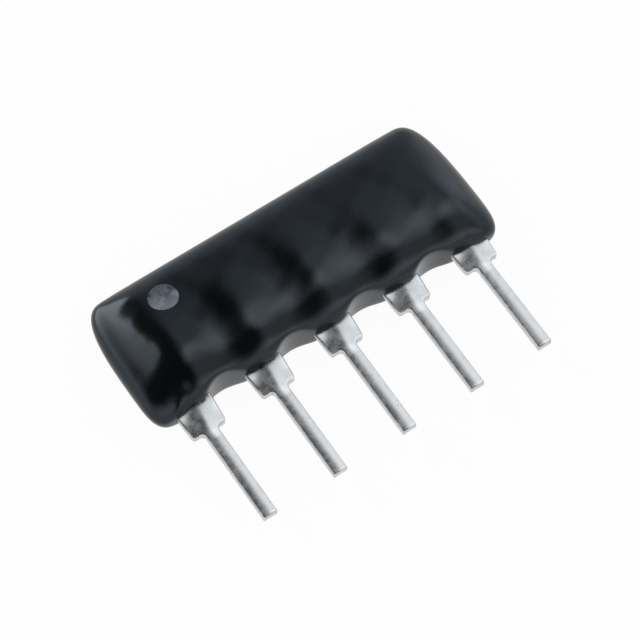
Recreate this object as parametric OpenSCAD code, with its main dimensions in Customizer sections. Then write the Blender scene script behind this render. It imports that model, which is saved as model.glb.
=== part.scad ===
// Single-in-line resistor network: a dipped thick-film circuit on a row of flat clip leads.
// X runs along the lead row, -Y runs down the pins and +Z comes out of the marked front face.
// The origin is the middle of the lead row, on the board line and on the leads' middle plane.
// The part lies on the flat of its back, as it comes to rest on a bench.

/* [Leads] */
// Number of leads in the row
lead_count = 5; // [3:1:12]
// Spacing of the lead axes
lead_pitch = 2.54; // [2.4:0.01:3]
// Width of the pin that goes into the board
pin_w = 0.5; // [0.35:0.01:0.6]
// Length of the pin below its shoulder
pin_l = 3.36; // [2.5:0.01:5]
// Thickness of the lead strip
lead_t = 0.25; // [0.2:0.01:0.3]
// Width of the shoulder where it stops on the board
shoulder_w = 1.22; // [1.1:0.01:1.27]
// Width of the shoulder where it parts into its fingers
span_w = 1.34; // [1.28:0.01:1.37]
// Height of the flat shoulder, from the board line to the finger bends
shoulder_h = 1; // [0.98:0.01:1.1]
// Radius of the fillet where the pin meets the shoulder
shoulder_fillet = 0.15; // [0.05:0.01:0.2]
// Radius of the shoulder's lower corners
shoulder_corner = 0.08; // [0.03:0.01:0.1]
// Width of each of the two front fingers
finger_w = 0.3; // [0.2:0.01:0.35]
// Width of the slits that part the fingers
slit_w = 0.1; // [0.06:0.01:0.12]
// Length of the fingers along the ceramic
finger_l = 1.1; // [0.8:0.05:1.15]
// Centre line radius of the finger bends
bend_r = 0.35; // [0.32:0.01:0.45]

/* [Ceramic plate] */
// Thickness of the plate
ceramic_t = 0.635; // [0.5:0.005:0.8]
// Height of the plate
ceramic_h = 3.2; // [3.1:0.05:4]
// Reach of the plate past the outer lead axes
ceramic_reach = 0.74; // [0.73:0.01:0.9]
// Gap between the plate's lower edge and the finger bends
ceramic_gap = 0.02; // [0.01:0.01:0.1]

/* [Film circuit] */
// Thickness of each printed film
film_t = 0.02; // [0.01:0.005:0.04]
// Width of the lead pads
pad_w = 1.42; // [1.4:0.01:1.44]
// Margin between the pads and the plate's lower edge
pad_margin = 0.1; // [0.05:0.01:0.2]
// Length of the soldered stretch of a pad
solder_l = 1.2; // [1.15:0.01:1.3]
// Height of the solder over its pad
solder_h = 0.4; // [0.3:0.01:0.5]
// Width of the common conductor along the plate's upper edge
bus_w = 0.45; // [0.3:0.01:0.6]
// Margin between the common conductor and the plate's upper edge
bus_margin = 0.2; // [0.1:0.01:0.3]
// Width of the riser from the first pad to the common conductor
riser_w = 0.6; // [0.3:0.01:1]
// Width of each resistor film
resistor_w = 1.1; // [0.9:0.01:1.2]
// Lap of the resistor film over its conductors
film_lap = 0.15; // [0.1:0.01:0.2]
// Width of the trim cut in each resistor
trim_w = 0.06; // [0.03:0.01:0.1]
// Length of the trim cut from the resistor's side
trim_l = 0.7; // [0.3:0.01:0.8]
// Margin of the glaze past the outer resistors
glaze_margin = 0.1; // [0.05:0.01:0.1]

/* [Coat] */
// Cover of the coat over the front fingers
coat_cover = 0.61; // [0.45:0.01:0.8]
// Cover of the coat past the plate's ends
coat_end = 0.59; // [0.55:0.01:0.8]
// Cover of the coat over the plate's upper edge
coat_top = 0.65; // [0.55:0.01:0.85]
// Height of the coat's lower edge on the middle of the row
coat_edge = 0.78; // [0.7:0.01:0.8]
// Drop of the lower edge from the middle of the row to its last lead
edge_lean = 0.11; // [-0.12:0.01:0.12]
// Shift of the coat along the row for each unit of height
end_lean = -0.01; // [-0.04:0.005:0.04]
// Rise of the lower edge between the leads
scallop_h = 0.23; // [0:0.01:0.25]
// Slope of the meniscus between the leads, down towards the front
scallop_tilt = 0.15; // [0:0.01:0.2]
// Rise of the front over the first lead's fingers
ridge_h = 0.16; // [0:0.01:0.2]
// Rise of the back over the first lead's finger
back_ridge_h = 0.06; // [0:0.01:0.08]
// Half width of a ridge
ridge_w = 0.75; // [0.6:0.01:0.9]
// Offset of the first ridge from its lead's axis
ridge_shift = 0.36; // [-0.4:0.01:0.4]
// Offset of the last ridge from its lead's axis
ridge_shift_last = 0.2; // [-0.4:0.01:0.4]
// Share of the ridges' rise that is lost by the last lead
ridge_fall = 0.2; // [0:0.05:0.8]
// Height where the first ridge begins to fade
ridge_fade_from = 2.5; // [2:0.05:3]
// Height where the first ridge has faded out
ridge_fade_to = 4.8; // [4:0.05:5]
// How much lower the last ridge fades out than the first
ridge_drop = 0.6; // [0:0.05:1]
// Height of the coat's fullest line
crown_y = 2.75; // [2.6:0.05:3.2]
// Height of the coat's widest line at its ends
wide_y = 2.2; // [2:0.05:2.6]
// Depth of the rounding at the coat's ends
end_round = 2.1; // [1.6:0.05:2.1]
// Depth of the coat's upper corners
upper_corner = 1; // [0.8:0.01:1.1]
// Depth of the coat's lower corners
lower_corner = 0.95; // [0.9:0.01:1.2]
// Dip of the lower edge past the outer leads
corner_dip = 0.11; // [0:0.01:0.2]
// Depth of the flat on the crown of the back
back_flat = 0.12; // [0.1:0.01:0.2]
// Shift of the dipped coat along the lead row
coat_shift = -0.06; // [-0.1:0.01:0.1]

/* [Mark] */
// Diameter of the dot by the first lead
dot_d = 1; // [0.6:0.05:1.3]
// Offset of the dot from the first lead's axis
dot_x = 1.04; // [0.5:0.01:1.2]
// Height of the dot over the board line
dot_y = 4.25; // [3.8:0.01:4.4]
// Thickness of the ink
ink_t = 0.02; // [0.01:0.005:0.04]

/* [Hidden] */
// Steps of the coat's loft
end_steps = 12;
steps_per_pitch = 10;
ring_steps = 44;
// Fullness of the coat's curves, where 2 is an ellipse
upper_fullness = 2.3;
lower_fullness = 2.6;
end_fullness = 2;
upper_corner_fullness = 3;
lower_corner_fullness = 3.4;
ridge_fullness = 2;
scallop_fullness = 2.6;
// Reach of the dip past the outer leads
dip_reach = 0.6;
// Half width, offset and depth of the tongues that the coat runs down each lead
tongue_w = 0.76;
tongue_shift = -0.08;
tongue_h = 0.4;
// Rounding between the coat's front and its meniscus
edge_blend = 0.12;
// Steps along each arc of a finger bend
bend_steps = 8;
$fn = 48;

row_l = (lead_count - 1) * lead_pitch;
// Bends carry the front fingers onto the film and the back finger onto the bare ceramic
front_jog = ceramic_t / 2 + film_t + lead_t / 2;
back_jog = ceramic_t / 2 + lead_t / 2;
function bend_angle(jog) = acos(1 - jog / (2 * bend_r));
function bend_run(jog) = 2 * bend_r * sin(bend_angle(jog));
back_finger_w = span_w - 2 * (finger_w + slit_w);

ceramic_y = shoulder_h + bend_run(front_jog) + ceramic_gap;
ceramic_top = ceramic_y + ceramic_h;
ceramic_l = row_l + 2 * ceramic_reach;
film_z = ceramic_t / 2;

pad_y = ceramic_y + pad_margin;
pad_top = pad_y + solder_l + film_lap + film_t;
bus_top = ceramic_top - bus_margin;
bus_y = bus_top - bus_w;
resistor_y = pad_top - film_lap;
resistor_top = bus_y + film_lap;
// The cap's foot runs through the corners of the soldered stretch
solder_foot = norm([pad_w, solder_l]) / 2;
solder_cap_r = (pow(solder_foot, 2) + pow(solder_h, 2)) / (2 * solder_h);

coat_half_l = ceramic_l / 2 + coat_end;
coat_half_t = film_z + film_t + lead_t + coat_cover;
coat_height = ceramic_top + coat_top;
coat_straight = coat_half_l - end_round;
mid_steps = ceil(2 * coat_straight / lead_pitch * steps_per_pitch);
crown_share = (crown_y - coat_edge) / (coat_height - coat_edge);
back_z = back_flat - coat_half_t;
dot_place = [dot_x - row_l / 2, dot_y];
// Reach of cutting blocks past what they cut
spare = 1;

function lead_x(i) = (i - 1) * lead_pitch - row_l / 2;
function numbered(name, from, to) = [for (i = [from : to]) str(name, "_", i)];

// Coat

function clamp(t) = max(0, min(1, t));
function ease(t) = let (c = clamp(t)) c * c * (3 - 2 * c);
// Superelliptic fall from 1 to 0 as t goes from 0 to 1
function round_off(t, fullness) = pow(1 - pow(clamp(t), fullness), 1 / fullness);
// Larger of two values, with a rounded changeover
function soft_max(a, b, blend) = (a + b + sqrt(pow(a - b, 2) + pow(blend, 2))) / 2;
function add_up(list, k = 0) = k < len(list) ? list[k] + add_up(list, k + 1) : 0;
// How far a station at x is into the end's rounding of the given depth
function into_end(x, depth) = (abs(x - coat_shift) - coat_half_l + depth) / depth;
// How far a station at x is along the lead row, from 0 on the first lead to 1 on the last
function along_row(x) = x / row_l + 0.5;
// 1 on each lead axis plus its shift, falling to 0 between the leads
function near_lead(x, width, shift, last_shift, fullness) =
    add_up([for (i = [1 : lead_count])
        let (middle = lead_x(i) + shift + (last_shift - shift) * along_row(lead_x(i)))
        exp(-pow(abs(x - middle) / width, fullness))]);

function coat_upper_y(x) =
    wide_y + (coat_height - wide_y) * round_off(into_end(x, upper_corner), upper_corner_fullness);
function lean_edge_y(x) = coat_edge - edge_lean * (2 * clamp(along_row(x)) - 1);
function coat_lower_y(x) =
    let (edge = lean_edge_y(x) - corner_dip * ease((abs(x) - row_l / 2) / dip_reach))
    wide_y - (wide_y - edge) * round_off(into_end(x, lower_corner), lower_corner_fullness);
// Height of the meniscus that parts the tongues
function meniscus_y(x) =
    let (
        between = near_lead(x, tongue_w, tongue_shift, tongue_shift, scallop_fullness),
        tongue = abs(x) < row_l / 2 ? between : 1
    )
    lean_edge_y(x) + scallop_h - tongue_h * tongue;
// How far the coat lies below the top of a first ridge of the given rise
function below_ridge(x, y, rise) =
    let (
        past = y + ridge_drop * along_row(x) - ridge_fade_from,
        fade = 1 - ease(past / (ridge_fade_to - ridge_fade_from)),
        share = 1 - ridge_fall * along_row(x)
    )
    rise * (1 - fade * share * near_lead(x, ridge_w, ridge_shift, ridge_shift_last, ridge_fullness));

// Point at angle a of the coat's section at x, a superellipse with its own fullness above and below
function coat_point(x, a) =
    let (
        upper = coat_upper_y(x),
        lower = coat_lower_y(x),
        crown = lower + crown_share * (upper - lower),
        reach = cos(a) > 0 ? upper - crown : lower - crown,
        power = 2 / (cos(a) > 0 ? upper_fullness : lower_fullness),
        body_y = crown + reach * pow(abs(cos(a)), power),
        rise = sin(a) > 0 ? ridge_h : back_ridge_h,
        end_share = round_off(into_end(x, end_round), end_fullness),
        half_t = (coat_half_t - below_ridge(x, body_y, rise)) * end_share,
        z = half_t * sign(sin(a)) * pow(abs(sin(a)), power),
        edge_y = min(crown, soft_max(body_y, meniscus_y(x) - scallop_tilt * z, edge_blend)),
        y = cos(a) > 0 ? body_y : edge_y
    )
    [x + end_lean * (y - wide_y), y, z];

// Stations from tip to tip, close together in the rounded ends
end_depths = [for (k = [1 : end_steps]) end_round * (1 - cos(90 * k / end_steps))];
stations = concat(
    [for (d = end_depths) coat_shift + d - coat_half_l],
    [for (k = [1 : mid_steps - 1]) coat_shift + coat_straight * (2 * k / mid_steps - 1)],
    [for (k = [end_steps - 1 : -1 : 0]) coat_shift + coat_half_l - end_depths[k]]
);

// The whole dipped body, lofted through its sections and closed at both tips
module coat_skin() {
    rings = len(stations);
    last = rings * ring_steps + 1;
    turns = [0 : ring_steps - 1];
    points = concat(
        [[coat_shift - coat_half_l, wide_y, 0]],
        [for (x = stations) for (j = turns) coat_point(x, 360 * j / ring_steps)],
        [[coat_shift + coat_half_l, wide_y, 0]]
    );
    function at(ring, j) = 1 + ring * ring_steps + j % ring_steps;
    faces = concat(
        [for (j = turns) [0, at(0, j), at(0, j + 1)]],
        [for (r = [0 : rings - 2]) for (j = turns) [at(r, j), at(r + 1, j), at(r + 1, j + 1)]],
        [for (r = [0 : rings - 2]) for (j = turns) [at(r, j), at(r + 1, j + 1), at(r, j + 1)]],
        [for (j = turns) [last, at(rings - 1, j + 1), at(rings - 1, j)]]
    );
    polyhedron(points, faces);
}

module epoxy_coating() {
    color("#1d1e21") difference() {
        coat_skin();
        translate([-coat_half_l - spare, coat_edge - spare, back_z - spare])
            cube([2 * (coat_half_l + spare), coat_height - coat_edge + 2 * spare, spare]);
        ceramic_substrate();
        film_stack();
        for (i = [1 : lead_count]) {
            solder_joint(i);
            lead(i);
        }
    }
}

// Ink dot that follows the coat's curved front
module pin_1_dot() {
    color("#85898c") difference() {
        intersection() {
            translate([0, 0, ink_t]) coat_skin();
            translate([dot_place.x, dot_place.y, 0]) cylinder(d = dot_d, h = 2 * coat_half_t);
        }
        coat_skin();
    }
}

// Ceramic and films

module ceramic_substrate() {
    color("#f2efe6") translate([-ceramic_l / 2, ceramic_y, -ceramic_t / 2])
        cube([ceramic_l, ceramic_h, ceramic_t]);
}

// Film over the plate's front, from one corner to the other
module film(from, to, layers = 1) {
    translate([from.x, from.y, film_z]) cube([to.x - from.x, to.y - from.y, layers * film_t]);
}

module pad(i) {
    film([lead_x(i) - pad_w / 2, pad_y], [lead_x(i) + pad_w / 2, pad_top]);
}

module end_pad(i) {
    color("#c9c5b9") pad(i);
}

// The first lead's pad, its riser and the rail that feeds every resistor
module common_conductor() {
    color("#c9c5b9") union() {
        pad(1);
        film([lead_x(1) - riser_w / 2, pad_top - film_lap], [lead_x(1) + riser_w / 2, bus_top]);
        film([lead_x(1) - riser_w / 2, bus_y], [lead_x(lead_count) + resistor_w / 2, bus_top]);
    }
}

// Cut that trims the resistor at lead i to its value, through the film and the glaze
module trim_cut(i) {
    middle = (pad_top + bus_y) / 2;
    side = lead_x(i) + resistor_w / 2;
    film([side - trim_l, middle - trim_w / 2], [side, middle + trim_w / 2], 3);
}

// Resistor k lies over lead k + 1 and laps the pad below it and the rail above it
module resistor(k) {
    i = k + 1;
    color("#2b2a33") difference() {
        film([lead_x(i) - resistor_w / 2, resistor_y], [lead_x(i) + resistor_w / 2, resistor_top], 2);
        end_pad(i);
        common_conductor();
        trim_cut(i);
    }
}

// Glass over all the resistors
module overglaze() {
    reach = resistor_w / 2 + glaze_margin;
    color("#3f6f5c") difference() {
        film([lead_x(2) - reach, resistor_y], [lead_x(lead_count) + reach, resistor_top], 3);
        common_conductor();
        for (k = [1 : lead_count - 1]) {
            end_pad(k + 1);
            resistor(k);
            trim_cut(k + 1);
        }
    }
}

module film_stack() {
    common_conductor();
    overglaze();
    for (k = [1 : lead_count - 1]) {
        end_pad(k + 1);
        resistor(k);
    }
}

// Cap of solder on the pad, round the front fingers
module solder_joint(i) {
    color("#b4b6b8") difference() {
        intersection() {
            translate([lead_x(i), pad_y + solder_l / 2, film_z + film_t + solder_h - solder_cap_r])
                sphere(solder_cap_r);
            translate([lead_x(i) - pad_w / 2, pad_y, film_z + film_t])
                cube([pad_w, solder_l, solder_h]);
        }
        lead(i);
    }
}

// Leads

// Fillet between a pin's right side and the shoulder's underside
module corner_fillet() {
    translate([pin_w / 2, -shoulder_fillet]) difference() {
        square(shoulder_fillet);
        translate([shoulder_fillet, 0]) circle(shoulder_fillet);
    }
}

// Shoulder plate with rounded lower corners, slit for its three fingers
module shoulder_outline() {
    half = shoulder_w / 2;
    inner = half - shoulder_corner;
    right = [[inner, 0], [half, shoulder_corner], [span_w / 2, shoulder_h]];
    left = [for (k = [2 : -1 : 0]) [-right[k].x, right[k].y]];
    difference() {
        union() {
            polygon(concat(right, left));
            for (s = [-1, 1])
                translate([s * inner, shoulder_corner]) circle(shoulder_corner);
        }
        for (s = [-1, 1])
            translate([s * (back_finger_w + slit_w) / 2, shoulder_h]) circle(d = slit_w);
    }
}

// Centre line of a finger: two opposite arcs that step over by the jog, then a straight run
function arc_turn(k, jog) = bend_angle(jog) * k / bend_steps;
function finger_line(jog, run) = concat(
    [for (k = [0 : bend_steps])
        let (t = arc_turn(k, jog))
        [bend_r * sin(t), bend_r * (1 - cos(t)), t]],
    [for (k = [bend_steps - 1 : -1 : 0])
        let (t = arc_turn(k, jog))
        [bend_run(jog) - bend_r * sin(t), jog - bend_r * (1 - cos(t)), t]],
    [[run, jog, 0]]
);

// Strip of the lead's thickness along that line, of width w, bent to the front or to the back
module finger(w, jog, side) {
    line = finger_line(jog, bend_run(jog) + ceramic_gap + finger_l);
    edge = [for (p = line) [p[0] - lead_t / 2 * sin(p[2]), p[1] + lead_t / 2 * cos(p[2])]];
    other = [for (k = [len(line) - 1 : -1 : 0])
        let (p = line[k])
        [p[0] + lead_t / 2 * sin(p[2]), p[1] - lead_t / 2 * cos(p[2])]];
    translate([-w / 2, shoulder_h, 0]) rotate([90, 0, 90])
        linear_extrude(w) mirror([0, side < 0 ? 1 : 0]) polygon(concat(edge, other));
}

module lead(i) {
    color("#c8cacc") translate([lead_x(i), 0, 0]) {
        translate([0, 0, -lead_t / 2]) linear_extrude(lead_t) {
            translate([-pin_w / 2, -pin_l]) square([pin_w, pin_l + shoulder_corner]);
            corner_fillet();
            mirror([1, 0]) corner_fillet();
            shoulder_outline();
        }
        finger(back_finger_w, back_jog, -1);
        for (s = [-1, 1])
            translate([s * (span_w - finger_w) / 2, 0, 0]) finger(finger_w, front_jog, 1);
    }
}

// Nodes

epoxy_coating();
pin_1_dot();
ceramic_substrate();
common_conductor();
overglaze();
for (i = [2 : lead_count]) end_pad(i);
for (k = [1 : lead_count - 1]) resistor(k);
for (i = [1 : lead_count]) solder_joint(i);
for (i = [1 : lead_count]) lead(i);
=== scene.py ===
import math

import bmesh
import bpy
import numpy as np
from bpy.props import FloatProperty, FloatVectorProperty, IntProperty, PointerProperty
from mathutils import Matrix, Vector


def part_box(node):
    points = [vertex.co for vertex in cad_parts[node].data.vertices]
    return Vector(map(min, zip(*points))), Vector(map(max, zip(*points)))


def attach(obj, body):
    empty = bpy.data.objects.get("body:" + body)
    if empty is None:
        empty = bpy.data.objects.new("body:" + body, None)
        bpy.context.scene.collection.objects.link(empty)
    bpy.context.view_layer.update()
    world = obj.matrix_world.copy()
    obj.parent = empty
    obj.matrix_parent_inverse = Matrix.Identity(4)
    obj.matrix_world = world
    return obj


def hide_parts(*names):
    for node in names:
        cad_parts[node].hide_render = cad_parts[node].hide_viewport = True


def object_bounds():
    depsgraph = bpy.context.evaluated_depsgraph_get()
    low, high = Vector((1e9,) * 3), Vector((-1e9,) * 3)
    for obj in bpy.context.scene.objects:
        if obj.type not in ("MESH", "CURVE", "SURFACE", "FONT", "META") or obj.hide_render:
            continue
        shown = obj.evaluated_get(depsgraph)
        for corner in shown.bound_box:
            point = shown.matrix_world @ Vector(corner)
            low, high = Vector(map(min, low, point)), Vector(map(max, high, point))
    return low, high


bl_info = {
    "name": "Resistor Network Finish",
    "version": (1, 0, 0),
    "blender": (4, 5, 0),
    "location": "View3D > Sidebar > Resistor Network",
    "description": "Finishes a single-in-line resistor network around its packed solids",
    "category": "Object",
}

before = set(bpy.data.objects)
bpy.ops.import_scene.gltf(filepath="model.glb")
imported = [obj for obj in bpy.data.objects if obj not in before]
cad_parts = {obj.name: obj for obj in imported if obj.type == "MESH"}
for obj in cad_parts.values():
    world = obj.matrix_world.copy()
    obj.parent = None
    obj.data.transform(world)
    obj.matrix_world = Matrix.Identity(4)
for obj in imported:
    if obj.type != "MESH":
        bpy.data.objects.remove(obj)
CAD_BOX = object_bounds()

MM = 0.001
WELD = 0.0005 * MM
TAB = "Resistor Network"
BODY = "root"
PLATED = "_plated"

COAT_NODE = "epoxy_coating"
DOT_NODE = "pin_1_dot"
LEAD_NODES = sorted(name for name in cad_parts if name.startswith("lead_"))
INNER_NODES = sorted(set(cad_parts) - {COAT_NODE, DOT_NODE, *LEAD_NODES})

COAT_LOW, COAT_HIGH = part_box(COAT_NODE)
DOT_LOW, DOT_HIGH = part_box(DOT_NODE)
LEAD_AXES = [sum(corner.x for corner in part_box(name)) / 2 for name in LEAD_NODES]
LEAD_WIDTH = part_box(LEAD_NODES[0])[1].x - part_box(LEAD_NODES[0])[0].x


# Settings

def length(name, about, default):
    return FloatProperty(name=name, description=about, default=default, subtype="DISTANCE", unit="LENGTH",
                         precision=6)


def share(name, about, default):
    return FloatProperty(name=name, description=about, default=default, min=0.0, max=1.0, subtype="FACTOR")


def colour(name, about, default):
    return FloatVectorProperty(name=name, description=about, default=default, size=3, min=0.0, max=1.0,
                               subtype="COLOR")


def angle(name, about, degrees):
    return FloatProperty(name=name, description=about, default=math.radians(degrees), subtype="ANGLE",
                         unit="ROTATION")


class CoatSettings(bpy.types.PropertyGroup):
    """Form and finish of the dipped coat."""

    edge: length("Lower edge", "Height of the coat's lower edge on the middle lead", 0.78 * MM)
    edge_lean: length("Edge lean", "Drop of the lower edge from the middle lead to the last", 0.11 * MM)
    end_lean: FloatProperty(name="End lean", description="Shift of the coat along the row with height",
                            default=-0.01)
    scallop: length("Scallop", "Rise of the lower edge between the leads", 0.33 * MM)
    crown: length("Crown", "Height of the fullest line", 2.75 * MM)
    ridge: length("Ridge", "Rise of the front over each lead's fingers", 0.16 * MM)
    ridge_width: length("Ridge width", "Half width of the rise over a lead", 0.75 * MM)
    ridge_shift: length("Ridge shift", "Offset of the first rise from its lead's axis", 0.36 * MM)
    ridge_shift_last: length("Last ridge shift", "Offset of the last rise from its lead's axis", 0.2 * MM)
    ridge_fall: share("Ridge fall", "Share of the rise that is lost by the last lead", 0.2)
    ridge_drop: length("Ridge drop", "How much lower the last ridge fades out than the first", 0.6 * MM)
    ridge_fade: length("Ridge fade", "Height at which the ridges have faded out", 4.8 * MM)
    back_ridge: length("Back ridge", "Rise of the back over each lead's finger", 0.06 * MM)
    waviness: length("Waviness", "Height of the low waves in the dipped surface", 0.02 * MM)
    tint: colour("Epoxy", "Colour of the epoxy", (0.0012, 0.0012, 0.0013))
    roughness: share("Roughness", "Roughness of the cured surface", 0.14)
    stations: IntProperty(name="Stations", description="Sections along the lead row", default=300, min=60)
    ring: IntProperty(name="Ring", description="Points round each section", default=168, min=32)


class MarkSettings(bpy.types.PropertyGroup):
    """Ink dot by the first lead."""

    ink: colour("Ink", "Colour of the ink", (0.105, 0.12, 0.137))
    thickness: length("Thickness", "Thickness of the ink at the dot's middle", 0.018 * MM)


class LeadSettings(bpy.types.PropertyGroup):
    """Form and finish of the tin-plated leads."""

    tin: colour("Tin", "Colour of the tin plate", (0.57, 0.57, 0.57))
    roughness: share("Roughness", "Roughness of the tin plate", 0.27)
    edge_round: length("Edge round", "Rounding of the stamped edges", 0.05 * MM)
    roof: FloatProperty(name="Roof", description="Slope of the strip's halves away from its middle line",
                        default=0.16)
    roof_round: length("Roof round", "Rounding between the halves of a shoulder", 0.1 * MM)
    pin_round: length("Pin round", "Rounding between the halves of a pin", 0.22 * MM)


class CircuitSettings(bpy.types.PropertyGroup):
    """Finish of the printed plate inside the coat."""

    alumina: colour("Alumina", "Colour of the fired plate", (0.86, 0.84, 0.78))
    silver: colour("Conductor", "Colour of the conductor film", (0.62, 0.60, 0.55))
    resistor: colour("Resistor", "Colour of the resistor film", (0.03, 0.03, 0.04))
    glaze: colour("Glaze", "Colour of the glass film", (0.06, 0.17, 0.12))
    solder: colour("Solder", "Colour of the solder", (0.5, 0.51, 0.52))


class StageSettings(bpy.types.PropertyGroup):
    """Floor, light and camera."""

    floor: colour("Floor", "Colour of the floor", (0.82, 0.82, 0.82))
    floor_size: length("Floor size", "Width of the floor", 0.6)
    azimuth: angle("Azimuth", "Camera's turn about the vertical, from looking along +Y", -33.84)
    elevation: angle("Elevation", "Camera's height over the horizon", 64.6)
    distance: length("Distance", "Camera's distance from its target", 91.2 * MM)
    focal: FloatProperty(name="Focal length", description="Focal length in millimetres", default=165.4)
    target: FloatVectorProperty(name="Target", description="Point that the camera looks at", size=3,
                                subtype="TRANSLATION", unit="LENGTH",
                                default=(-0.245 * MM, 1.21 * MM, 0.125 * MM))


class NetworkSettings(bpy.types.PropertyGroup):
    """All settings of the resistor network."""

    coat: PointerProperty(type=CoatSettings)
    mark: PointerProperty(type=MarkSettings)
    lead: PointerProperty(type=LeadSettings)
    circuit: PointerProperty(type=CircuitSettings)
    stage: PointerProperty(type=StageSettings)


# Form of the coat

def ease(t):
    t = np.clip(t, 0.0, 1.0)
    return t * t * (3.0 - 2.0 * t)


def passed(value, span):
    """Smooth rise from 0 to 1 as a value crosses a span."""
    return ease((value - span[0]) / (span[1] - span[0]))


def round_off(t, fullness):
    """Superelliptic fall from 1 to 0 as t goes from 0 to 1."""
    return (1.0 - np.clip(t, 0.0, 1.0) ** fullness) ** (1.0 / fullness)


def soft_max(first, second, blend):
    """Larger of two values, with a rounded changeover."""
    return (first + second + np.sqrt((first - second) ** 2 + blend ** 2)) / 2


class CoatForm:
    """The coat's outer surface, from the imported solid's box and the settings."""

    upper_fullness = 2.3
    lower_fullness = 2.6
    end_fullness = 2.0
    upper_corner_fullness = 3.0
    lower_corner_fullness = 3.4
    end_round = 2.1 * MM
    upper_corner = 1.0 * MM
    lower_corner = 0.95 * MM
    corner_dip = 0.11 * MM
    corner_reach = 0.6 * MM
    wide_y = 2.2 * MM
    ridge_from = 2.5 * MM
    ridge_power = 2.0
    scallop_width = 0.76 * MM
    scallop_shift = -0.08 * MM
    scallop_drop = 0.4 * MM
    scallop_power = 2.6
    scallop_blend = 0.09 * MM
    scallop_tilt = 0.03
    # Phase per millimetre along the row and up it, phase at the origin, and strength
    rolls = ((2.1, 1.3, 0.4, 1.0), (-1.4, 2.6, 2.0, 1.0), (3.3, -0.9, 4.1, 1.0), (4.6, 3.1, 1.1, 0.7),
             (-3.9, 5.2, 5.3, 0.6), (7.3, 2.2, 0.9, 0.4), (-5.1, 8.4, 3.6, 0.35))
    roll_scale = 5.0
    # Place along the row and up it and reach, all in millimetres, and rise as a share of the waviness
    swells = ((-4.2, 2.3, 0.5, 1.1), (-0.2, 2.5, 0.5, -1.6), (0.2, 3.8, 1.0, 2.2), (5.4, 1.7, 0.7, 2.2))
    end_inset = 0.006 * MM
    top_inset = 0.0045 * MM
    half_length = (COAT_HIGH.x - COAT_LOW.x) / 2 - end_inset
    middle = (COAT_LOW.x + COAT_HIGH.x) / 2
    top = COAT_HIGH.y - top_inset
    front = 1.193 * MM
    back = -COAT_LOW.z
    last_station = 0.9995

    def __init__(self, settings):
        self.settings = settings

    def into_end(self, x, depth):
        """0 at the given depth from either end, rising to 1 at its tip."""
        return (np.abs(x - self.middle) - self.half_length + depth) / depth

    def waves(self, x, y):
        """Low unevenness of the dipped surface."""
        u, v = x / MM, y / MM
        roll = sum(strength * np.sin(across * u + up * v + start)
                   for across, up, start, strength in self.rolls)
        swell = sum(rise * np.exp(-((u - across) ** 2 + (v - up) ** 2) / reach ** 2)
                    for across, up, reach, rise in self.swells)
        return self.settings.waviness * (roll / self.roll_scale - 1.0 + swell)

    def near_lead(self, x, width, shift, last_shift, power):
        """1 on each lead axis plus its shift, falling to 0 between the leads."""
        middles = np.array(LEAD_AXES) + np.linspace(shift, last_shift, len(LEAD_AXES))
        return sum(np.exp(-(np.abs(x - middle) / width) ** power) for middle in middles)

    def upper_y(self, x):
        """Height of the upper edge, with its rounded corners."""
        rounding = round_off(self.into_end(x, self.upper_corner), self.upper_corner_fullness)
        return self.wide_y + (self.top - self.wide_y) * rounding

    def edge_y(self, x):
        """Height of the leaning lower edge, before its corners."""
        return self.settings.edge - self.settings.edge_lean * np.clip(x / LEAD_AXES[-1], -1.0, 1.0)

    def lower_y(self, x):
        """Height of the lower edge, with its rounded corners."""
        beyond = ease((np.abs(x) - LEAD_AXES[-1]) / self.corner_reach)
        edge = self.edge_y(x) - self.corner_dip * beyond
        rounding = round_off(self.into_end(x, self.lower_corner), self.lower_corner_fullness)
        return self.wide_y - (self.wide_y - edge) * rounding

    def scallop_y(self, x):
        """Height of the meniscus between the leads."""
        shift = self.scallop_shift
        drop = self.scallop_drop * self.near_lead(x, self.scallop_width, shift, shift, self.scallop_power)
        inside = np.abs(x) < LEAD_AXES[-1]
        return self.edge_y(x) + self.settings.scallop - np.where(inside, drop, self.scallop_drop)

    def crown_y(self, x):
        """Height of the fullest line."""
        lower, upper = self.lower_y(x), self.upper_y(x)
        rise = self.settings.crown - self.settings.edge
        return lower + (upper - lower) * rise / (self.top - self.settings.edge)

    def half_thickness(self, x, y, ridge, full):
        """Thickness from the leads' middle plane to the fullest line, with the ridges and the waves."""
        along = (x / LEAD_AXES[-1] + 1.0) / 2
        height = y + self.settings.ridge_drop * along
        fade = 1.0 - passed(height, (self.ridge_from, self.settings.ridge_fade))
        strength = 1.0 - self.settings.ridge_fall * along
        near = self.near_lead(x, self.settings.ridge_width, self.settings.ridge_shift,
                              self.settings.ridge_shift_last, self.ridge_power)
        body = full - ridge * (1.0 - fade * strength * near) + self.waves(x, y)
        return body * round_off(self.into_end(x, self.end_round), self.end_fullness)

    def sides(self, x):
        """Reach and fullness above the crown, then below it."""
        crown = self.crown_y(x)
        return (self.upper_y(x) - crown, self.upper_fullness), (self.lower_y(x) - crown, self.lower_fullness)

    def shift(self, y):
        """Offset along the row that leans the ends."""
        return self.settings.end_lean * (y - self.wide_y)

    def front_z(self, x, y):
        """Height of the front surface over the leads' middle plane."""
        x = x - self.shift(y)
        crown = self.crown_y(x)
        (up, up_full), (down, down_full) = self.sides(x)
        above = y > crown
        part = (y - crown) / np.where(above, up, down)
        bulge = np.where(above, round_off(part, up_full), round_off(part, down_full))
        return self.half_thickness(x, y, self.settings.ridge, self.front) * bulge

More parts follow.
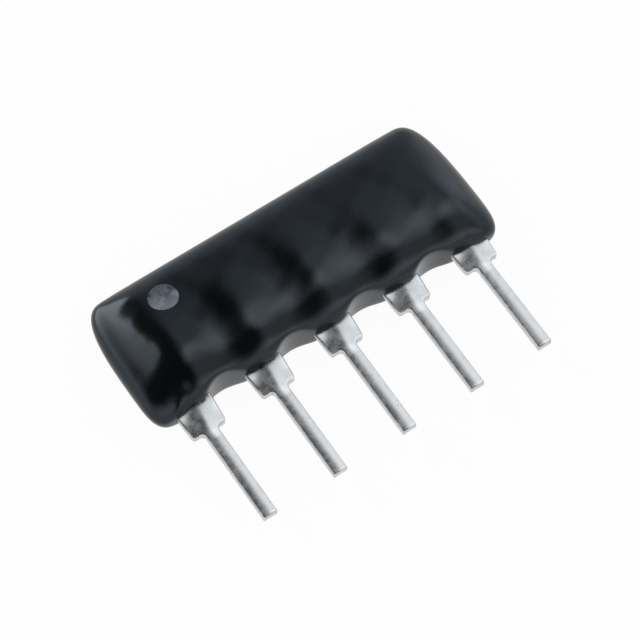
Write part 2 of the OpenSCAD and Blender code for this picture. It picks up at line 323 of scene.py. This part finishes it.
    def section(self, x, turn):
        """Points of the section at station x, for angles turn from the upper edge round the front."""
        crown = self.crown_y(x)
        (up, up_full), (down, down_full) = self.sides(x)
        c, s = np.cos(turn), np.sin(turn)
        power = 2.0 / np.where(c > 0, up_full, down_full)
        y = crown + np.where(c > 0, up, down) * np.abs(c) ** power
        bulge = np.abs(s) ** power
        front = self.half_thickness(x, y, self.settings.ridge, self.front) * bulge
        back = np.minimum(self.half_thickness(x, y, self.settings.back_ridge, self.front) * bulge, self.back)
        z = np.where(s > 0, front, -back)
        meniscus = soft_max(y, self.scallop_y(x) - self.scallop_tilt * z, self.scallop_blend)
        y = np.where(c > 0, y, np.minimum(meniscus, crown))
        return np.stack([x + self.shift(y), y, z], axis=1)

    def stations(self):
        """Places of the sections, closer together towards the tips."""
        spread = np.linspace(-1.0, 1.0, self.settings.stations + 2)[1:-1]
        places = 0.5 * spread + 0.5 * np.sin(spread * math.pi / 2)
        return self.middle + self.half_length * places / np.abs(places).max() * self.last_station


def tube_mesh(name, rings, start, end):
    """Closed mesh through equal rings of points, with a tip at each end."""
    count = len(rings[0])
    points = [start, *(p for ring in rings for p in ring), end]
    last = len(points) - 1
    faces = [(0, 1 + (j + 1) % count, 1 + j) for j in range(count)]
    for r in range(len(rings) - 1):
        base = 1 + r * count
        for j in range(count):
            k = (j + 1) % count
            faces.append((base + j, base + k, base + count + k, base + count + j))
    base = 1 + (len(rings) - 1) * count
    faces += [(last, base + j, base + (j + 1) % count) for j in range(count)]
    mesh = bpy.data.meshes.new(name)
    mesh.from_pydata([tuple(p) for p in points], [], faces)
    mesh.validate()
    return mesh


# Meshes and objects

def add_object(name, mesh):
    piece = bpy.data.objects.new(name, mesh)
    bpy.context.scene.collection.objects.link(piece)
    return piece


def fix_piece(piece, slot, *nodes):
    """Makes a piece ride on the part and stand for its nodes; the slot is not used."""
    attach(piece, BODY)
    if nodes:
        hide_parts(*nodes)


def outward(mesh):
    """Turns the faces of a closed mesh outwards."""
    work = bmesh.new()
    work.from_mesh(mesh)
    bmesh.ops.recalc_face_normals(work, faces=work.faces)
    work.to_mesh(mesh)
    work.free()


def welded(mesh):
    """Work mesh with the split vertices of a mesh joined."""
    work = bmesh.new()
    work.from_mesh(mesh)
    bmesh.ops.remove_doubles(work, verts=work.verts, dist=WELD)
    return work


def subtract(piece, others):
    """Cuts the seats of other pieces out of a piece."""
    joined = bmesh.new()
    for other in others:
        work = welded(other.data)
        copy = bpy.data.meshes.new("seat")
        work.to_mesh(copy)
        work.free()
        joined.from_mesh(copy)
        bpy.data.meshes.remove(copy)
    mesh = bpy.data.meshes.new("seats")
    joined.to_mesh(mesh)
    joined.free()
    seats = add_object("seats", mesh)
    cut = piece.modifiers.new("seats", "BOOLEAN")
    cut.operation = "DIFFERENCE"
    cut.solver = "MANIFOLD"
    cut.object = seats
    graph = bpy.context.evaluated_depsgraph_get()
    hollow = bpy.data.meshes.new_from_object(piece.evaluated_get(graph))
    piece.modifiers.clear()
    old = piece.data
    piece.data = hollow
    bpy.data.meshes.remove(old)
    bpy.data.objects.remove(seats)
    bpy.data.meshes.remove(mesh)


def shade_smooth(mesh, degrees):
    """Smooth shading, with edges over the given angle kept sharp."""
    mesh.shade_smooth()
    mesh.set_sharp_from_angle(angle=math.radians(degrees))


# Shader nodes

def new_material(name):
    material = bpy.data.materials.new(name)
    material.use_nodes = True
    nodes = material.node_tree.nodes
    nodes.clear()
    shader = nodes.new("ShaderNodeBsdfPrincipled")
    output = nodes.new("ShaderNodeOutputMaterial")
    material.node_tree.links.new(shader.outputs["BSDF"], output.inputs["Surface"])
    return material, shader


def rgba(values):
    return (*values, 1.0)


def tone(tint, strength):
    """Lighter or darker kind of a colour."""
    return rgba(min(1.0, c * strength) for c in tint)


def node_in(tree, kind, **settings):
    """New node with its properties set, and its inputs for keys that start with in_."""
    made = tree.nodes.new(kind)
    for key, value in settings.items():
        if key.startswith("in_"):
            made.inputs[key[3:]].default_value = value
        else:
            setattr(made, key, value)
    return made


def ramp(tree, source, low, high, low_value=0.0, high_value=1.0):
    """Maps a value from one span to another, smoothly."""
    made = node_in(tree, "ShaderNodeMapRange", interpolation_type="SMOOTHSTEP")
    made.inputs["From Min"].default_value = low
    made.inputs["From Max"].default_value = high
    made.inputs["To Min"].default_value = low_value
    made.inputs["To Max"].default_value = high_value
    tree.links.new(source, made.inputs["Value"])
    return made.outputs["Result"]


def mixed(tree, factor, first, second):
    """Mix of two colours or colour outputs."""
    made = node_in(tree, "ShaderNodeMix", data_type="RGBA")
    tree.links.new(factor, made.inputs["Factor"])
    for value, socket in ((first, made.inputs["A"]), (second, made.inputs["B"])):
        if isinstance(value, bpy.types.NodeSocket):
            tree.links.new(value, socket)
        else:
            socket.default_value = value
    return made.outputs["Result"]


def combined(tree, operation, first, *others):
    """Chain of math nodes over outputs and numbers."""
    for other in others:
        made = node_in(tree, "ShaderNodeMath", operation=operation)
        for value, socket in zip((first, other), made.inputs):
            if isinstance(value, bpy.types.NodeSocket):
                tree.links.new(value, socket)
            else:
                socket.default_value = value
        first = made.outputs[0]
    return first


def group_node(tree, group, **values):
    made = tree.nodes.new("ShaderNodeGroup")
    made.node_tree = group
    for key, value in values.items():
        made.inputs[key.replace("_", " ")].default_value = value
    return made


def new_group(name, inputs, outputs):
    group = bpy.data.node_groups.new(name, "ShaderNodeTree")
    for label, default in inputs.items():
        socket = group.interface.new_socket(name=label, in_out="INPUT", socket_type="NodeSocketFloat")
        socket.default_value = default
    for label in outputs:
        group.interface.new_socket(name=label, in_out="OUTPUT", socket_type="NodeSocketFloat")
    return group, group.nodes.new("NodeGroupInput"), group.nodes.new("NodeGroupOutput")


def mottle_group():
    """Soft blotches and fine grains, shared by the coat, the tin, the ink and the fired films."""
    name = "Mottle"
    if name in bpy.data.node_groups:
        return bpy.data.node_groups[name]
    group, given, out = new_group(name, {"Blotch Size": 0.2, "Grain Size": 0.03, "Grain Share": 0.5},
                                  ("Mottle", "Grain"))
    place = group.nodes.new("ShaderNodeTexCoord")
    values = {}
    for label in ("Blotch", "Grain"):
        scale = node_in(group, "ShaderNodeMath", operation="DIVIDE")
        scale.inputs[0].default_value = 1.0 / MM
        group.links.new(given.outputs[label + " Size"], scale.inputs[1])
        noise = node_in(group, "ShaderNodeTexNoise", in_Detail=3.0, in_Roughness=0.55)
        group.links.new(place.outputs["Object"], noise.inputs["Vector"])
        group.links.new(scale.outputs[0], noise.inputs["Scale"])
        values[label] = ramp(group, noise.outputs["Fac"], 0.3, 0.7)
    blend = node_in(group, "ShaderNodeMix", data_type="FLOAT")
    group.links.new(given.outputs["Grain Share"], blend.inputs["Factor"])
    group.links.new(values["Blotch"], blend.inputs["A"])
    group.links.new(values["Grain"], blend.inputs["B"])
    group.links.new(blend.outputs["Result"], out.inputs["Mottle"])
    group.links.new(values["Grain"], out.inputs["Grain"])
    return group


def bump(tree, shader, height, strength, distance):
    """Fine relief on the shader's normal."""
    made = node_in(tree, "ShaderNodeBump", in_Strength=strength, in_Distance=distance)
    tree.links.new(height, made.inputs["Height"])
    tree.links.new(made.outputs["Normal"], shader.inputs["Normal"])


def epoxy_material(settings):
    """Cured black epoxy: a wavy gloss with the odd speck of dust."""
    material, shader = new_material("Black epoxy")
    tree = material.node_tree
    shader.inputs["IOR"].default_value = 1.5
    shader.inputs["Specular Tint"].default_value = (0.70, 0.81, 0.92, 1.0)
    mottle = group_node(tree, mottle_group(), Blotch_Size=0.9, Grain_Size=0.22, Grain_Share=0.3)
    place = tree.nodes.new("ShaderNodeTexCoord")
    specks = node_in(tree, "ShaderNodeTexVoronoi", in_Scale=1.0 / (0.55 * MM))
    tree.links.new(place.outputs["Object"], specks.inputs["Vector"])
    speck = ramp(tree, specks.outputs["Distance"], 0.03, 0.055, 1.0, 0.0)
    body = mixed(tree, mottle.outputs["Mottle"], tone(settings.tint, 0.8), tone(settings.tint, 1.25))
    dusted = mixed(tree, speck, body, tone(settings.tint, 4.0))
    tree.links.new(dusted, shader.inputs["Base Color"])
    rough = ramp(tree, mottle.outputs["Mottle"], 0.0, 1.0,
                 settings.roughness * 0.9, settings.roughness * 1.15)
    tree.links.new(rough, shader.inputs["Roughness"])
    bump(tree, shader, mottle.outputs["Grain"], 0.2, 0.003 * MM)
    return material


def tin_material(settings):
    """Matte tin plate with soft blotches, pits and faint drawing lines down the lead."""
    material, shader = new_material("Matte tin")
    tree = material.node_tree
    shader.inputs["Metallic"].default_value = 1.0
    mottle = group_node(tree, mottle_group(), Blotch_Size=0.22, Grain_Size=0.06, Grain_Share=0.25)
    place = tree.nodes.new("ShaderNodeTexCoord")
    stretch = node_in(tree, "ShaderNodeMapping", in_Scale=(1.0, 0.06, 1.0))
    tree.links.new(place.outputs["Object"], stretch.inputs["Vector"])
    lines = node_in(tree, "ShaderNodeTexNoise", in_Scale=1.0 / (0.06 * MM), in_Detail=1.0)
    tree.links.new(stretch.outputs["Vector"], lines.inputs["Vector"])
    pits = node_in(tree, "ShaderNodeTexVoronoi", in_Scale=1.0 / (0.24 * MM))
    tree.links.new(place.outputs["Object"], pits.inputs["Vector"])
    pit = ramp(tree, pits.outputs["Distance"], 0.04, 0.2, 0.7, 0.0)
    base = mixed(tree, mottle.outputs["Mottle"], tone(settings.tin, 0.88), tone(settings.tin, 1.1))
    pitted = mixed(tree, pit, base, tone(settings.tin, 0.7))
    tree.links.new(pitted, shader.inputs["Base Color"])
    rough = ramp(tree, mottle.outputs["Mottle"], 0.0, 1.0,
                 settings.roughness - 0.04, settings.roughness + 0.06)
    tree.links.new(rough, shader.inputs["Roughness"])
    drawn = combined(tree, "MULTIPLY", lines.outputs["Fac"], 0.5)
    bump(tree, shader, combined(tree, "ADD", drawn, mottle.outputs["Mottle"]), 0.1, 0.004 * MM)
    return material


def ink_material(settings):
    """Mottled ink, thinner and darker in spots, and darker towards its upper side."""
    material, shader = new_material("Grey ink")
    tree = material.node_tree
    shader.inputs["Specular IOR Level"].default_value = 0.2
    mottle = group_node(tree, mottle_group(), Blotch_Size=0.34, Grain_Size=0.07, Grain_Share=0.25)
    place = tree.nodes.new("ShaderNodeTexCoord")
    axes = tree.nodes.new("ShaderNodeSeparateXYZ")
    tree.links.new(place.outputs["Object"], axes.inputs["Vector"])
    # Base colour darkens towards the dot's upper side, on top of the random spots.
    darker_upward = ramp(tree, axes.outputs["Y"], DOT_HIGH.y, DOT_LOW.y, -0.2, 0.8)
    spots = ramp(tree, mottle.outputs["Mottle"], 0.25, 0.75, 0.0, 0.45)
    cover = combined(tree, "ADD", spots, darker_upward)
    base = mixed(tree, cover, tone(settings.ink, 0.15), tone(settings.ink, 1.6))
    tree.links.new(base, shader.inputs["Base Color"])
    rough = ramp(tree, mottle.outputs["Grain"], 0.0, 1.0, 0.42, 0.58)
    tree.links.new(rough, shader.inputs["Roughness"])
    bump(tree, shader, mottle.outputs["Grain"], 0.3, 0.004 * MM)
    return material


def film_material(name, tint, roughness, blotch, metallic=0.0):
    """Fired ceramic, printed film or solder."""
    material, shader = new_material(name)
    tree = material.node_tree
    shader.inputs["Metallic"].default_value = metallic
    mottle = group_node(tree, mottle_group(), Blotch_Size=blotch, Grain_Size=0.04, Grain_Share=0.5)
    base = mixed(tree, mottle.outputs["Mottle"], tone(tint, 0.85), tone(tint, 1.1))
    tree.links.new(base, shader.inputs["Base Color"])
    rough = ramp(tree, mottle.outputs["Grain"], 0.0, 1.0, roughness * 0.85, min(1.0, roughness * 1.15))
    tree.links.new(rough, shader.inputs["Roughness"])
    bump(tree, shader, mottle.outputs["Grain"], 0.2, 0.004 * MM)
    return material


def set_material(piece, material):
    piece.data.materials.clear()
    piece.data.materials.append(material)


# Operators

class NETWORK_OT_coat(bpy.types.Operator):
    """Make the dipped coat around the leads and the plate."""

    bl_idname = "network.coat"
    bl_label = "Dipped coat"

    crease = 50.0

    def execute(self, context):
        settings = context.scene.network.coat
        form = CoatForm(settings)
        turn = np.linspace(0.0, 2.0 * math.pi, settings.ring, endpoint=False)
        rings = [form.section(x, turn) for x in form.stations()]
        tips = [(form.middle + side * form.half_length, form.wide_y, 0.0) for side in (-1, 1)]
        mesh = tube_mesh("coat", rings, *tips)
        outward(mesh)
        coat = add_object("coat", mesh)
        leads = [bpy.data.objects[node + PLATED] for node in LEAD_NODES]
        subtract(coat, leads + [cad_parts[node] for node in INNER_NODES])
        shade_smooth(coat.data, self.crease)
        set_material(coat, epoxy_material(settings))
        fix_piece(coat, "epoxy", COAT_NODE)
        return {"FINISHED"}


class NETWORK_OT_mark(bpy.types.Operator):
    """Print the ink dot by the first lead."""

    bl_idname = "network.mark"
    bl_label = "Ink dot"

    rings = 14
    spokes = 96
    sink = 0.006 * MM
    ragged = 0.012
    edge_fullness = 6.0
    crease = 60.0

    def execute(self, context):
        settings = context.scene.network.mark
        form = CoatForm(context.scene.network.coat)
        centre = (DOT_LOW + DOT_HIGH) / 2
        radius = (DOT_HIGH.x - DOT_LOW.x) / 2
        turn = np.linspace(0.0, 2.0 * math.pi, self.spokes, endpoint=False)
        wobble = 1.0 - self.ragged * (1.5 + np.sin(3 * turn + 1.0) + 0.5 * np.sin(7 * turn))
        top, under = [], []
        for part in np.sin(np.linspace(0.0, math.pi / 2, self.rings + 1))[1:]:
            x = centre.x + radius * part * wobble * np.cos(turn)
            y = centre.y + radius * part * wobble * np.sin(turn)
            z = form.front_z(x, y)
            lift = settings.thickness * round_off(part, self.edge_fullness)
            top.append(np.stack([x, y, z + lift], axis=1))
            under.append(np.stack([x, y, z - self.sink], axis=1))
        middle = form.front_z(centre.x, centre.y)
        mesh = tube_mesh("dot", top + under[::-1], (centre.x, centre.y, middle + settings.thickness),
                         (centre.x, centre.y, middle - self.sink))
        outward(mesh)
        dot = add_object("dot", mesh)
        shade_smooth(dot.data, self.crease)
        set_material(dot, ink_material(settings))
        fix_piece(dot, "ink", DOT_NODE)
        return {"FINISHED"}


class NETWORK_OT_leads(bpy.types.Operator):
    """Round and bow the stamped leads, and plate them with tin."""

    bl_idname = "network.leads"
    bl_label = "Tin-plated leads"

    cuts_across = 12
    step = 0.12 * MM
    flat_angle = 4.0
    edge_angle = 35.0
    crease = 40.0
    pin_width = 0.5 * MM
    shoulder_width = 1.22 * MM
    neck = 0.25 * MM
    pin_roof = 1.8
    shoulder_roof = 0.3
    level_share = 0.4
    pin_shift = 0.04 * MM
    ridge_drift = 0.12
    corner = 0.16 * MM
    flank = (0.2 * MM, 0.6 * MM)
    flat_from = (0.35 * MM, 0.85 * MM)
    bow_end = (0.75 * MM, 1.25 * MM)

    def cut(self, work, place, direction):
        bmesh.ops.bisect_plane(work, geom=work.verts[:] + work.edges[:] + work.faces[:], dist=WELD,
                               plane_co=place, plane_no=direction)

    def lift(self, x, y, settings):
        """Shift of the strip towards the front, for a place off the lead's axis."""
        wide = passed(y, (-self.neck, 0.0))
        half = (self.pin_width + (LEAD_WIDTH - self.pin_width) * wide) / 2
        blend = settings.pin_round + (settings.roof_round - settings.pin_round) * wide
        off = abs(x - self.pin_shift * (1.0 - wide) - self.ridge_drift * wide * y)
        flat = passed(y, self.flat_from)
        reach = self.flank[1] - self.flank[0]
        past = max(0.0, (off - self.flank[0]) / reach)
        level = past ** 3 - past ** 4 / 2 if past < 1.0 else past - 0.5
        fall = math.hypot(off, blend) - blend - flat * reach * level
        steep = self.pin_roof + (1.0 - self.pin_roof) * wide + self.shoulder_roof * wide * (1.0 - flat)
        return settings.roof * steep * (self.level_share * half - fall) * (1.0 - passed(y, self.bow_end))

    def rounded(self, x, y):
        """Place of a point near a shoulder's lower corners, drawn in to a rounder corner."""
        across = abs(x) - (self.shoulder_width / 2 - self.corner)
        down = self.corner - y
        reach = math.hypot(across, down)
        if across <= 0.0 or down <= 0.0 or y < -WELD or reach <= self.corner:
            return x, y
        pull = self.corner / reach
        x = math.copysign(self.shoulder_width / 2 - self.corner + across * pull, x)
        return x, self.corner - down * pull

    def lead_mesh(self, node, axis, settings):
        """Copy of a lead's solid with rounded edges and a bowed strip."""
        work = welded(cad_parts[node].data)
        bmesh.ops.dissolve_limit(work, angle_limit=math.radians(self.flat_angle), verts=work.verts,
                                 edges=work.edges)
        sharp = [e for e in work.edges if len(e.link_faces) == 2
                 and e.calc_face_angle() > math.radians(self.edge_angle)]
        bmesh.ops.bevel(work, geom=sharp, offset=settings.edge_round, segments=4, profile=0.5,
                        affect="EDGES", clamp_overlap=True)
        for k in range(1 - self.cuts_across, self.cuts_across):
            self.cut(work, (axis + k / self.cuts_across * LEAD_WIDTH / 2, 0, 0), (1, 0, 0))
        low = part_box(node)[0].y
        for k in range(1, int((self.bow_end[1] - low) / self.step)):
            self.cut(work, (0, low + k * self.step, 0), (0, 1, 0))
        for v in work.verts:
            x, v.co.y = self.rounded(v.co.x - axis, v.co.y)
            v.co.x = axis + x
            v.co.z += self.lift(x, v.co.y, settings)
        bmesh.ops.triangulate(work, faces=[f for f in work.faces if len(f.verts) > 4])
        mesh = bpy.data.meshes.new(node + PLATED)
        work.to_mesh(mesh)
        work.free()
        return mesh

    def execute(self, context):
        settings = context.scene.network.lead
        tin = tin_material(settings)
        for node, axis in zip(LEAD_NODES, LEAD_AXES):
            lead = add_object(node + PLATED, self.lead_mesh(node, axis, settings))
            shade_smooth(lead.data, self.crease)
            set_material(lead, tin)
            fix_piece(lead, "tin", node)
        return {"FINISHED"}


class NETWORK_OT_circuit(bpy.types.Operator):
    """Finish the printed plate and its solder."""

    bl_idname = "network.circuit"
    bl_label = "Printed plate"

    def execute(self, context):
        settings = context.scene.network.circuit
        silver = film_material("Silver film", settings.silver, roughness=0.45, blotch=0.15, metallic=1.0)
        solder = film_material("Reflowed solder", settings.solder, roughness=0.3, blotch=0.25, metallic=1.0)
        finishes = {
            "ceramic": film_material("Fired alumina", settings.alumina, roughness=0.6, blotch=0.3),
            "common": silver,
            "end": silver,
            "resistor": film_material("Resistor film", settings.resistor, roughness=0.5, blotch=0.2),
            "overglaze": film_material("Glass film", settings.glaze, roughness=0.25, blotch=0.3),
            "solder": solder,
        }
        for node in INNER_NODES:
            set_material(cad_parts[node], finishes[node.split("_")[0]])
        return {"FINISHED"}


class NETWORK_OT_stage(bpy.types.Operator):
    """Set the floor, the studio light and the camera."""

    bl_idname = "network.stage"
    bl_label = "Studio stage"

    floor_glow = 0.96
    room_level = 0.057
    plain_white = (1.0, 1.0, 1.0, 1.0)
    cool_white = (0.92, 1.0, 1.07, 1.0)
    sensor_width = 36.0
    clip = (0.005, 5.0)

    def floor(self, settings):
        half = settings.floor_size / 2
        mesh = bpy.data.meshes.new("floor")
        corners = [(-half, -half), (half, -half), (half, half), (-half, half)]
        mesh.from_pydata([(x, y, CAD_BOX[0].z - WELD) for x, y in corners], [], [(0, 1, 2, 3)])
        floor = add_object("floor", mesh)
        material = bpy.data.materials.new("White sweep")
        material.use_nodes = True
        tree = material.node_tree
        tree.nodes.clear()
        diffuse = node_in(tree, "ShaderNodeBsdfDiffuse", in_Color=rgba(settings.floor))
        glow = node_in(tree, "ShaderNodeEmission", in_Color=self.plain_white)
        path = tree.nodes.new("ShaderNodeLightPath")
        rays = [path.outputs["Is " + kind + " Ray"] for kind in ("Camera", "Glossy", "Transmission")]
        part = combined(tree, "MULTIPLY", combined(tree, "MAXIMUM", *rays), self.floor_glow)
        mix = tree.nodes.new("ShaderNodeMixShader")
        output = tree.nodes.new("ShaderNodeOutputMaterial")
        tree.links.new(part, mix.inputs["Fac"])
        tree.links.new(diffuse.outputs[0], mix.inputs[1])
        tree.links.new(glow.outputs[0], mix.inputs[2])
        tree.links.new(mix.outputs[0], output.inputs["Surface"])
        set_material(floor, material)

    def softbox(self, name, towards, upright, away, slide, size, radiance, edges, slopes):
        """Area lamp that faces the part.

        Edges are the widths of its soft left, right, lower and upper edges, as shares of its size. Slopes
        are, for its width and its height, where a slope begins and ends and its shares of the radiance there.
        """
        lamp = bpy.data.lights.new(name, "AREA")
        lamp.shape = "RECTANGLE"
        lamp.size, lamp.size_y = size
        lamp.energy = radiance * math.pi * size[0] * size[1]
        lamp.use_nodes = True
        tree = lamp.node_tree
        glow = next(node for node in tree.nodes if node.type == "EMISSION")
        place = tree.nodes.new("ShaderNodeNewGeometry")
        axes = tree.nodes.new("ShaderNodeSeparateXYZ")
        tree.links.new(place.outputs["Parametric"], axes.inputs["Vector"])
        parts = []
        for k, axis in enumerate("XY"):
            low, high = edges[2 * k:2 * k + 2]
            parts.append(ramp(tree, axes.outputs[axis], 0.0, low))
            parts.append(ramp(tree, axes.outputs[axis], 1.0, 1.0 - high))
            parts.append(ramp(tree, axes.outputs[axis], *slopes[k]))
        tree.links.new(combined(tree, "MULTIPLY", *parts), glow.inputs["Strength"])
        holder = add_object(name, lamp)
        back = Vector(towards).normalized()
        across = Vector(upright).cross(back).normalized()
        turn = Matrix((across, back.cross(across), back)).transposed()
        holder.location = (COAT_LOW + COAT_HIGH) / 2 + back * away + back.cross(across) * slide
        holder.rotation_euler = turn.to_euler()
        holder.visible_camera = False

    def sky(self, context):
        """Dim room with pale patches, set by the direction that a ray heads in."""
        world = bpy.data.worlds.new("Studio")
        context.scene.world = world
        world.use_nodes = True
        tree = world.node_tree
        tree.nodes.clear()
        place = tree.nodes.new("ShaderNodeTexCoord")
        axes = tree.nodes.new("ShaderNodeSeparateXYZ")
        tree.links.new(place.outputs["Generated"], axes.inputs["Vector"])
        x, y, z = (axes.outputs[name] for name in "XYZ")

        def patch(*spans):
            """Product of ramps, each an axis, where the ramp begins and ends, and its values there."""
            return combined(tree, "MULTIPLY", *(ramp(tree, *span) for span in spans))

        rim = combined(tree, "ADD", patch((x, 0.55, 0.95, 0.0, 0.9), (y, 0.1, 0.5, 0.4, 1.0)),
                       patch((y, 0.8, 0.4, 0.5, 0.7)))
        right = combined(tree, "MULTIPLY", patch((x, 0.0, 0.34)), rim)
        front = patch((y, -0.5, -0.95, 0.0, 1.4), (x, -0.12, 0.22))
        slant = combined(tree, "ADD", combined(tree, "MULTIPLY", x, 0.9), y)
        corner = patch((slant, -0.6, -0.95, 0.0, 1.3), (x, -0.05, -0.4))
        overhead = combined(tree, "ADD", right, front, corner, self.room_level)
        far = patch((y, 0.5, 0.8, 0.95, 0.82), (x, 0.0, 0.5, 1.15, 0.85))
        near = patch((x, 0.6, 0.9, 0.0, 0.5), (y, 0.1, 0.5))
        left = patch((x, 0.0, -0.3, 0.0, 1.3), (y, 0.55, 0.85))
        horizon = combined(tree, "ADD", far, near, left)
        strength = node_in(tree, "ShaderNodeMix", data_type="FLOAT")
        tree.links.new(ramp(tree, z, 0.6, 0.15), strength.inputs["Factor"])
        tree.links.new(overhead, strength.inputs["A"])
        tree.links.new(horizon, strength.inputs["B"])
        light = node_in(tree, "ShaderNodeBackground")
        hue = mixed(tree, ramp(tree, y, -0.4, 0.1), self.plain_white, self.cool_white)
        tree.links.new(hue, light.inputs["Color"])
        output = tree.nodes.new("ShaderNodeOutputWorld")
        tree.links.new(strength.outputs["Result"], light.inputs["Strength"])
        tree.links.new(light.outputs[0], output.inputs["Surface"])

    def camera(self, context, settings):
        data = bpy.data.cameras.new("camera")
        data.lens = settings.focal
        data.sensor_width = self.sensor_width
        data.clip_start, data.clip_end = self.clip
        camera = add_object("camera", data)
        a, e = settings.azimuth, settings.elevation
        back = Vector((math.sin(a) * math.cos(e), -math.cos(a) * math.cos(e), math.sin(e)))
        camera.location = Vector(settings.target) + back * settings.distance
        camera.rotation_euler = back.to_track_quat("Z", "Y").to_euler()
        context.scene.camera = camera

    def execute(self, context):
        settings = context.scene.network.stage
        self.floor(settings)
        self.softbox("key_box", towards=(0.5, 0.14, 0.84), upright=(0, 1, 0), away=0.3, slide=0.0,
                     size=(0.5, 0.22), radiance=1.45, edges=(0.3, 0.3, 0.5, 0.5),
                     slopes=((0.3, 0.7, 1.0, 0.4), (0.0, 1.0, 1.0, 1.0)))
        self.softbox("left_card", towards=(-0.577, 0.717, 0.39), upright=(0.29, 0.937, -0.168), away=0.3,
                     slide=0.04, size=(0.29, 0.4), radiance=4.0, edges=(0.2, 0.08, 0.06, 0.1),
                     slopes=((0.4, 1.0, 0.3, 1.0), (0.0, 0.5, 0.38, 1.0)))
        self.sky(context)
        self.camera(context, settings)
        context.scene.view_settings.view_transform = "Standard"
        return {"FINISHED"}


class NETWORK_PT_panel(bpy.types.Panel):
    """Lists the pieces of the resistor network."""

    bl_idname = "NETWORK_PT_panel"
    bl_label = "Resistor Network"
    bl_space_type = "VIEW_3D"
    bl_region_type = "UI"
    bl_category = TAB

    def draw(self, context):
        for operator in OPERATORS:
            self.layout.operator(operator.bl_idname)


OPERATORS = (NETWORK_OT_leads, NETWORK_OT_circuit, NETWORK_OT_coat, NETWORK_OT_mark, NETWORK_OT_stage)
GROUPS = (CoatSettings, MarkSettings, LeadSettings, CircuitSettings, StageSettings, NetworkSettings)
CLASSES = (*GROUPS, *OPERATORS, NETWORK_PT_panel)


def register():
    for cls in CLASSES:
        bpy.utils.register_class(cls)
    bpy.types.Scene.network = PointerProperty(type=NetworkSettings)


def unregister():
    del bpy.types.Scene.network
    for cls in reversed(CLASSES):
        bpy.utils.unregister_class(cls)


def main():
    register()
    bpy.ops.network.leads()
    bpy.ops.network.circuit()
    bpy.ops.network.coat()
    bpy.ops.network.mark()
    bpy.ops.network.stage()


if __name__ == "__main__":
    main()
